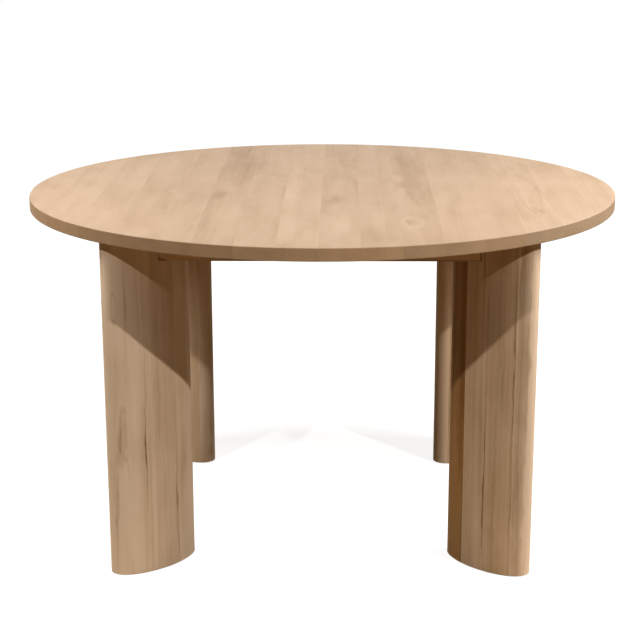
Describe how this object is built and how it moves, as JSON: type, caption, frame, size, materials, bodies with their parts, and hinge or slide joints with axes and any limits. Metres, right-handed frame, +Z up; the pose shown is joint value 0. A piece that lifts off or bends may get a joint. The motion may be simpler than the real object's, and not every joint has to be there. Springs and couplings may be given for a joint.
{
  "type": "round dining table",
  "caption": "Round solid-wood dining table on oval stave legs with a low under-frame, for people seated all round.",
  "frame": {"origin": "on the floor, under the middle of the round top", "axes": "+X to the right of someone facing the front, +Y to the back along the top's boards, +Z up"},
  "size_m": [1.2998, 1.3, 0.755],
  "materials": {
    "top_wood": "oiled pale natural wood, grain front to back",
    "leg_wood": "oiled pale natural wood, grain upright, darker staves",
    "frame_wood": "oiled pale natural wood",
    "dowel_wood": "bare ribless dowel",
    "black_steel": "black oxide",
    "zinc_steel": "zinc plated",
    "sleeve_brass": "turned, passivated",
    "glide_nylon": "matt moulded nylon"
  },
  "bodies": {
    "root": {"top_board_1": "top_wood", "top_board_2": "top_wood", "top_board_3": "top_wood", "top_board_4": "top_wood", "top_board_5": "top_wood", "top_board_6": "top_wood", "top_board_7": "top_wood", "top_board_8": "top_wood", "top_board_9": "top_wood", "top_board_10": "top_wood", "top_board_11": "top_wood", "top_board_12": "top_wood", "top_board_13": "top_wood", "top_board_14": "top_wood", "top_board_15": "top_wood", "top_board_16": "top_wood", "front_left_leg_stave_1": "leg_wood", "front_left_leg_stave_2": "leg_wood", "front_left_leg_stave_3": "leg_wood", "front_left_leg_stave_4": "leg_wood", "front_left_leg_stave_5": "leg_wood", "front_right_leg_stave_1": "leg_wood", "front_right_leg_stave_2": "leg_wood", "front_right_leg_stave_3": "leg_wood", "front_right_leg_stave_4": "leg_wood", "front_right_leg_stave_5": "leg_wood", "back_right_leg_stave_1": "leg_wood", "back_right_leg_stave_2": "leg_wood", "back_right_leg_stave_3": "leg_wood", "back_right_leg_stave_4": "leg_wood", "back_right_leg_stave_5": "leg_wood", "back_left_leg_stave_1": "leg_wood", "back_left_leg_stave_2": "leg_wood", "back_left_leg_stave_3": "leg_wood", "back_left_leg_stave_4": "leg_wood", "back_left_leg_stave_5": "leg_wood", "front_rail": "frame_wood", "back_rail": "frame_wood", "left_rail": "frame_wood", "right_rail": "frame_wood", "centre_rail": "frame_wood", "rail_dowels": "dowel_wood", "leg_bolts": "black_steel", "leg_bolt_washers": "zinc_steel", "leg_bolt_sleeves": "sleeve_brass", "top_screws": "zinc_steel", "top_screw_washers": "zinc_steel", "floor_glides": "glide_nylon"}
  },
  "joints": []
}
